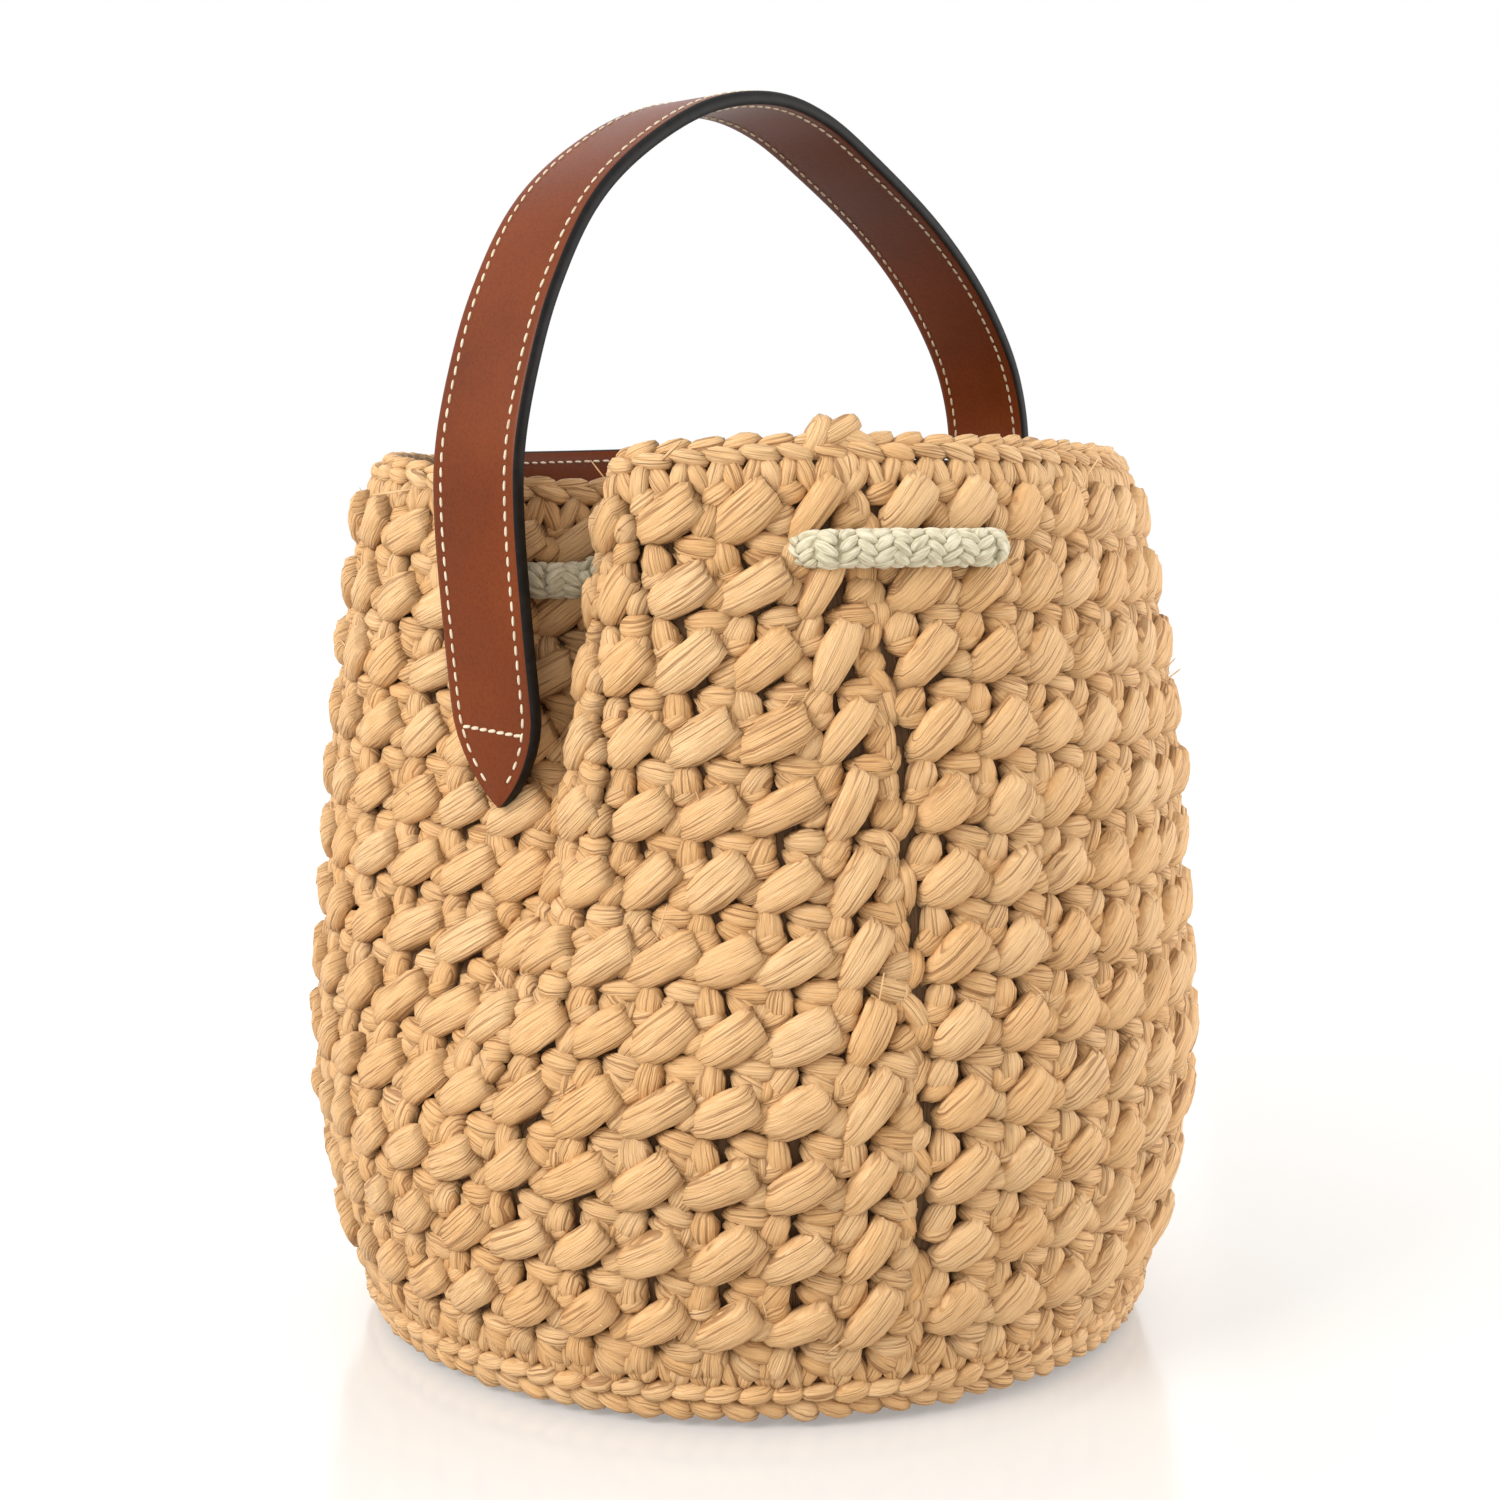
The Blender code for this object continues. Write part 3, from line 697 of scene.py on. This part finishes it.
def makeBase():
    # worked in rounds from the middle: radial posts, with a chain along the outside of each round
    under, over, edge = [], [], []
    step = baseWork["roundStep"]
    # each base and edge strand carries painted shade, darkest at its back
    for strands, up, height in ((under, False, baseWork["underHeight"]),
                                (over, True, baseWork["overHeight"])):
        for ring in range(baseWork["rounds"]):
            radius = step * (ring + 0.45)
            count = max(5, round(2 * math.pi * radius / baseWork["stitchWide"]))
            for k in range(count):
                turn = 2 * math.pi * (k + 0.37 * ring) / count
                place = discFrame(radius, turn, height, up)
                for side in (-1, 1):
                    strands.append((place, side * 0.0019, 0, 90 - side * 14 + sway(5), 0,
                                    vary(baseWork["post"]), dice.uniform(0.1, 0.9), (0.06, 0.9)))
                outer = discFrame(radius + step / 2, turn, height, up)
                strands.append((outer, 0, 0, 14 + sway(6), 0, vary(baseWork["chain"]),
                                dice.uniform(0.1, 0.9), (0.06, 0.9)))
    for k in range(baseWork["edgeCount"]):
        share = k / baseWork["edgeCount"]
        height, out, size = baseWork["edgePost"]
        place = wallFrame(share, height, out)
        for side in (-1, 1):
            edge.append((place, side * 0.0021, 0, 90 - side * 16 + sway(7), 0, vary(size),
                         dice.uniform(0.2, 1), (0.04, 0.8)))
        for kind, along, angle, tones, shade in (("edgeChain", 0.5, 12, (0.3, 1), (0.0, 0.7)),
                                                 ("edgeLow", 0, -18, (0.1, 0.9), (0.05, 0.8))):
            height, out, size = baseWork[kind]
            place = wallFrame(share + along / baseWork["edgeCount"], height, out)
            edge.append((place, 0, 0, angle + sway(8), 0, vary(size), dice.uniform(*tones), shade))
    return [strandPiece("base_stitches_under", leafLumps, under, raffia),
            strandPiece("base_stitches_inside", leafLumps, over, raffia),
            strandPiece("base_edge_stitches", leafLumps, edge, raffia)]


# ---- sheets: a grid primitive whose points are moved to their place

def gridPiece(name, columns, rows, place, material, uvScale=(1, 1), edges=None):
    clearSelection()
    bpy.ops.mesh.primitive_grid_add(x_subdivisions=columns, y_subdivisions=rows, size=1)
    obj = bpy.context.object
    obj.name = obj.data.name = name
    mesh = obj.data
    cells = [(round((v.co.x + 0.5) * columns), round((v.co.y + 0.5) * rows)) for v in mesh.vertices]
    mesh.uv_layers[0].name = "strand"
    spread = mesh.uv_layers["strand"].data
    for loop in mesh.loops:
        i, j = cells[loop.vertex_index]
        spread[loop.index].uv = (i / columns * uvScale[0], j / rows * uvScale[1])
    mesh.materials.append(material)
    if edges:
        mesh.materials.append(edgePaint)
        for face in mesh.polygons:
            i, j = (min(cells[v][k] for v in face.vertices) for k in (0, 1))
            face.material_index = 1 if edges(i, j) else 0
    for v, (i, j) in zip(mesh.vertices, cells):
        v.co = place(i, j)
    bpy.ops.object.mode_set(mode="EDIT")
    bpy.ops.mesh.select_all(action="SELECT")
    bpy.ops.mesh.remove_doubles(threshold=0.00001)
    bpy.ops.mesh.normals_make_consistent(inside=False)
    bpy.ops.object.mode_set(mode="OBJECT")
    mesh.shade_smooth()
    return obj


backing = {
    "columns": 220, "rows": 44, "low": 0.006, "tall": 0.240, "outer": 0.0012, "inner": -0.0016,
    "diskSides": 64, "diskHigh": 0.0065, "diskLow": 0.0040, "diskRadii": (0.0005, 0.055, 0.1115),
    # painted shade: how far the backing is mixed towards the darkest brown, then its tone
    "shade": 0.85, "tone": 0.3,
}


def diskPoint(i, j):
    high = [(radius, backing["diskHigh"]) for radius in backing["diskRadii"]]
    low = [(radius, backing["diskLow"]) for radius in reversed(backing["diskRadii"])]
    radius, height = (high + low + high[:1])[j]
    turn = 2 * math.pi * (i % backing["diskSides"]) / backing["diskSides"]
    return Vector((radius * math.sin(turn), -radius * math.cos(turn), height))


def paintPoints(obj, **values):
    count = len(obj.data.vertices)
    for key, value in values.items():
        obj.data.attributes.new(key, "FLOAT", "POINT").data.foreach_set("value", np.full(count, value))


def makeBacking():
    # the yarn behind the stitches: a thin closed skin that no light comes through, painted mostly dark brown
    # as painted shade in the gaps between stitches
    columns, rows = backing["columns"], backing["rows"]
    heights = [backing["low"] + backing["tall"] * j / rows for j in range(rows + 1)]
    section = ([(height, backing["outer"]) for height in heights]
               + [(height, backing["inner"]) for height in reversed(heights)])

    def place(i, j):
        height, out = section[j % len(section)]
        return wallFrame((i % columns) / columns, height, out)[0]

    wall = gridPiece("wall_backing", columns, len(section), place, raffia, (70, 40))
    floor = gridPiece("base_backing", backing["diskSides"], 6, diskPoint, raffia, (30, 10))
    for obj in (wall, floor):
        # painted shade on the backing sheets
        paintPoints(obj, shade=backing["shade"], tone=backing["tone"])
    return [wall, floor]


# ---- leather strap

strap = {
    "halfWidth": 0.0155, "halfThick": 0.0020, "tipLength": 0.026, "tipCurve": (1.9, 0.85), "stations": 240,
    "paintReach": 0.0012, "insetFullFrom": 0.0125,
    # its middle line: (distance to the right, height)
    "line": [(-0.1052, 0.1560), (-0.1070, 0.1755), (-0.1105, 0.204), (-0.1130, 0.230), (-0.1126, 0.249),
              (-0.1075, 0.2696), (-0.0991, 0.2907), (-0.0850, 0.313), (-0.0655, 0.330), (-0.0380, 0.3450),
              (-0.0100, 0.3515), (0.0150, 0.3495), (0.0412, 0.3399), (0.0722, 0.3252), (0.0968, 0.3085),
              (0.1145, 0.2904), (0.1235, 0.2740), (0.1270, 0.2560), (0.1260, 0.235), (0.1190, 0.206),
              (0.1085, 0.1755), (0.1052, 0.1560)],
    "stitchInset": 0.0038, "stitchPitch": 0.0038, "stitch": (0.0027, 0.00080, 0.0008), "sewnFrom": 0.006,
    "crossFromTip": 0.0205, "crossStitch": (0.0028, 0.00095, 0.0008),
    "crossPitch": 0.82, "crossSlant": 0.00025,
    "bendLow": (0, 0, 0.1785), "bendHigh": (0, 0, 0.2050),
}
strapLine, strapLength = evenly([Vector((x, 0, z)) for x, z in smoothLine(strap["line"], False)], False,
                                strap["stations"] + 1)


def strapMiddle(run):
    place = min(max(run / strapLength, 0.0), 1.0) * strap["stations"]
    i = min(int(place), strap["stations"] - 1)
    return strapLine[i].lerp(strapLine[i + 1], place - i)


def strapFrame(run, across, out):
    along = (strapMiddle(run + 0.001) - strapMiddle(run - 0.001)).normalized()
    normal = along.cross(Vector((0, 1, 0)))
    return strapMiddle(run) + Vector((0, across, 0)) + normal * out, along, Vector((0, 1, 0)), normal


def strapHalfWidth(run):
    fromTip = min(run, strapLength - run)
    if fromTip >= strap["tipLength"]:
        return strap["halfWidth"]
    round_, point = strap["tipCurve"]
    return max(0.0004, strap["halfWidth"] * (1 - (1 - fromTip / strap["tipLength"]) ** round_) ** point)


def strapSection():
    # (share of the half width, inset from the edge, out): crowned faces, rounded painted edges
    t = strap["halfThick"]
    half = [(1, 0.0009, 0.96), (1, 0.0018, 1.0), (1, 0.0038, 0.94), (1, 0.0060, 1.0), (0.45, 0, 1.03)]
    face = [(-s, inset, o) for s, inset, o in half] + [(0, 0, 1.05)] + half[::-1]
    top = [(s, inset, o * t) for s, inset, o in face]
    edge = [(1, 0.0003, 0.72 * t), (1, 0.0, 0.3 * t), (1, 0.0, -0.3 * t), (1, 0.0003, -0.72 * t)]
    under = [(s, inset, -o) for s, inset, o in reversed(top)]
    return top + edge + under + [(-s, inset, -o) for s, inset, o in edge]


def makeStrap():
    section = strapSection()
    ends = [0.0, 0.0004, 0.001, 0.002, 0.0035, 0.0055, 0.008, 0.011, 0.0145, 0.0185, 0.023, 0.028]
    middleCount = 190
    close = ends[-1]
    runs = (ends + [close + (strapLength - 2 * close) * k / middleCount for k in range(1, middleCount)]
            + [strapLength - e for e in reversed(ends)])

    def place(i, j):
        s, inset, out = section[j % len(section)]
        wide = strapHalfWidth(runs[i])
        kept = inset * min(1.0, wide / strap["insetFullFrom"])
        across = s * wide if inset == 0 else math.copysign(wide - kept, s)
        return strapFrame(runs[i], across, out)[0]

    def isEdge(i, j):
        corners = [section[k % len(section)] for k in (j, j + 1)]
        return all(inset < strap["paintReach"] and abs(s) > 0.9 for s, inset, out in corners)

    return gridPiece("handle_strap", len(runs) - 1, len(section), place, leather,
                     (strapLength * 100, 7.0), isEdge)


stitchLumps = [makeLump(f"stitch_{k}", {
    "sides": 8, "rings": 6, "seed": 61 + k, "crumple": 0.01, "ridge": 0.04,
    "outline": [(1.3, 1.2, 0.0, 0.0), (1.1, 1.05, 0.0, 0.0), (1.0, 1.0, 0.0, 0.0), (1.1, 1.05, 0.0, 0.0),
                (1.3, 1.2, 0.0, 0.0)],
}) for k in range(2)]


def stitchAcross(run):
    return max(0.0, strapHalfWidth(run) - strap["stitchInset"])


def makeStrapStitches():
    outer, inner = [], []
    sewn = strapLength - 2 * strap["sewnFrom"]
    count = round(sewn / strap["stitchPitch"])
    ahead = 0.001
    # each stitch, and each cross stitch below, carries painted shade: none on top, half at its back
    for k in range(count):
        run = strap["sewnFrom"] + sewn * (k + 0.5) / count
        across = stitchAcross(run)
        slope = 0.0
        if min(run, strapLength - run) < strap["tipLength"]:
            slope = math.degrees(math.atan2(stitchAcross(run + ahead) - across, ahead))
        for side in (-1, 1):
            for strands, out in ((outer, 1), (inner, -1)):
                place = strapFrame(run, side * across, out * strap["halfThick"] * 0.99)
                strands.append((place, 0, 0, side * slope + 4 * side, 0, strap["stitch"], 0.5, (0.0, 0.5)))
    for tip in (0.0, strapLength):
        run = abs(tip - strap["crossFromTip"])
        for k in range(-3, 4):
            place = strapFrame(run + k * strap["crossSlant"], k * strap["stitchPitch"] * strap["crossPitch"],
                               strap["halfThick"] * 1.05)
            outer.append((place, 0, 0, 94, 0, strap["crossStitch"], 0.5, (0.0, 0.5)))
    return (strandPiece("handle_stitches_outer", stitchLumps, outer, thread),
            strandPiece("handle_stitches_inner", stitchLumps, inner, thread))


# ---- leather facing inside the back of the mouth

facing = {
    "thick": 0.0014, "from": 0.436, "to": 0.640, "width": 0.031, "top": (0.2530, 0.2600), "depth": 0.0051,
    "sewnLength": 0.135, "columns": 110, "paintedStrips": (0, 1, 8, 9),
}


def facingFrame(share, down, out):
    # a place on the facing, facing inwards: down from its top edge, out from its back
    t = (share - facing["from"]) / (facing["to"] - facing["from"])
    top = facing["top"][0] + (facing["top"][1] - facing["top"][0]) * t
    return wallFrame(share, top - down, facing["depth"] + out, inside=True)


def makeFacing():
    width, thick = facing["width"], facing["thick"]
    section = [(0.0005, 0.0), (0.0, thick * 0.5), (0.0005, thick), (0.0038, thick * 0.92), (0.008, thick),
               (width / 2, thick * 1.06), (width - 0.008, thick), (width - 0.0038, thick * 0.92),
               (width - 0.0005, thick), (width, thick * 0.5), (width - 0.0005, 0.0), (width / 2, 0.0)]
    columns, inset = facing["columns"], strap["stitchInset"]

    def place(i, j):
        down, out = section[j % len(section)]
        return facingFrame(facing["from"] + (facing["to"] - facing["from"]) * i / columns, down, out)[0]

    obj = gridPiece("mouth_facing_leather", columns, len(section), place, leather, (18, 6),
                    lambda i, j: j in facing["paintedStrips"])
    closeEnds(obj)
    stitches = []
    count = round(facing["sewnLength"] / strap["stitchPitch"])
    for k in range(count):
        share = facing["from"] + (facing["to"] - facing["from"]) * (k + 0.5) / count
        for down in (inset, width - inset):
            site = facingFrame(share, down, thick * 0.95)
            # painted shade on each stitch: none on top, half at its back
            stitches.append((site, 0, 0, 0, 0, strap["stitch"], 0.5, (0, 0.5)))
    return obj, strandPiece("mouth_facing_stitches", stitchLumps, stitches, thread)


def closeEnds(obj):
    bpy.context.view_layer.objects.active = obj
    obj.select_set(True)
    bpy.ops.object.mode_set(mode="EDIT")
    bpy.ops.mesh.select_all(action="DESELECT")
    bpy.ops.mesh.select_non_manifold()
    bpy.ops.mesh.fill_holes(sides=0)
    bpy.ops.mesh.select_all(action="SELECT")
    bpy.ops.mesh.normals_make_consistent(inside=False)
    bpy.ops.object.mode_set(mode="OBJECT")


# ---- drawstring: a braided cord through the wall, in and out

cord = {
    "core": 0.0033, "tall": 1.2, "sides": 12, "stations": 360,
    "height": 0.2240, "outside": 0.0095, "inside": -0.0118,
    "windows": [(0.047, 0.122), (0.213, 0.275), (0.675, 0.725), (0.800, 0.860)], "ramp": 0.012,
    "endsAt": 0.415, "lap": 0.03, "lapDrop": 0.0105,
    "plaits": 8, "plaitsAt": 0.0031, "plaitPitch": 0.0044, "plaitAngle": 33,
    "plait": (0.0066, 0.0030, 0.0026),
}


def cordPoint(run):
    share = cord["endsAt"] + run
    outside = 0.0
    for low, high in cord["windows"]:
        for turn in (-1, 0, 1):
            outside = max(outside, min(ease(share + turn, low - cord["ramp"], low + cord["ramp"]),
                                       1 - ease(share + turn, high - cord["ramp"], high + cord["ramp"])))
    under = ease(run, 1 - cord["lap"] / 2, 1 + cord["lap"] / 2)
    place = wallFrame(share, cord["height"], cord["inside"] + (cord["outside"] - cord["inside"]) * outside)
    return place[0] - Vector((0, 0, cord["lapDrop"] * under))


def tubePoint(route, at, turn, radius):
    i = min(int(at), len(route) - 2)
    middle = route[i].lerp(route[i + 1], at - i)
    along = (route[min(i + 2, len(route) - 1)] - route[max(i - 1, 0)]).normalized()
    side = along.cross(Vector((0, 0, 1))).normalized()
    over = side.cross(along).normalized()
    return middle + side * radius * math.cos(turn) + over * radius * cord["tall"] * math.sin(turn)


def makeCord():
    fine = 700
    route, length = evenly([cordPoint((1 + cord["lap"]) * i / fine) for i in range(fine + 1)], False,
                           cord["stations"])
    sides = cord["sides"]
    core = gridPiece("drawstring_core", cord["stations"] - 1, sides,
                     lambda i, j: tubePoint(route, i, 2 * math.pi * (j % sides) / sides, cord["core"]),
                     cotton, (length * 100, 2.5))
    closeEnds(core)
    # painted shade: the core seen between the plaits is darkened most of the way to the dark cotton colour
    paintPoints(core, shade=0.8)
    plaits = []
    rows = round(length / cord["plaitPitch"])
    for row in range(rows):
        at = (row + 0.5) / rows * (len(route) - 1)
        i = min(int(at), len(route) - 2)
        along = (route[i + 1] - route[i]).normalized()
        angle = cord["plaitAngle"] if row % 2 else -cord["plaitAngle"]
        for k in range(cord["plaits"]):
            turn = 2 * math.pi * (k + 0.5 * (row % 2)) / cord["plaits"]
            origin = tubePoint(route, at, turn, cord["plaitsAt"])
            normal = (origin - route[i].lerp(route[i + 1], at - i)).normalized()
            up = normal.cross(along).normalized()
            # each plait carries painted shade, darkest at its back
            plaits.append(((origin, along, up, normal), 0, 0, angle + sway(4), 0, vary(cord["plait"], 0.06),
                           0.5, (0.0, 0.8)))
    braid = strandPiece("drawstring_braid", leafLumps, plaits, cotton)
    return core, braid


# ---- put together

def makeFloorSheet():
    clearSelection()
    bpy.ops.mesh.primitive_plane_add(size=12, location=(0, 0, -0.0004))
    floor = bpy.context.object
    floor.name = "floor"
    bpy.ops.object.transform_apply(location=True, rotation=False, scale=False)
    floor.data.materials.append(makeFloor("pale_acrylic_floor"))


makeFloorSheet()
bodyPieces = makeWall() + makeSeam() + makeRim() + makeWisps() + makeInside() + makeBase() + makeBacking()
print("raffia worked:", sum(len(p.data.polygons) for p in bodyPieces), "faces")
for piece in bodyPieces:
    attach(piece, "bag")
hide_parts("side_wall")
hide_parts("rim_edging")
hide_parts("base_panel")
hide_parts("base_edge_ring")

strapPiece = makeStrap()
outerStitches, innerStitches = makeStrapStitches()
for piece in (strapPiece, outerStitches, innerStitches):
    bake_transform(piece)
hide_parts("handle_arch_outer", "handle_arch_core", "handle_arch_lining",
            "handle_end_left_outer", "handle_end_left_lining",
            "handle_end_right_outer", "handle_end_right_lining")
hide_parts("arch_top_thread_front", "arch_top_thread_back",
            "end_thread_left", "end_thread_right", "cross_thread_left", "cross_thread_right")
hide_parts("arch_bobbin_thread_front", "arch_bobbin_thread_back")
print("strap sewn")

facingPiece, facingStitches = makeFacing()
cordCore, cordBraid = makeCord()
for piece in (facingPiece, facingStitches, cordCore, cordBraid):
    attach(piece, "bag")
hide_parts("mouth_facing")
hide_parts("facing_thread_top", "facing_thread_bottom")
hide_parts("drawstring")
print("drawstring threaded")
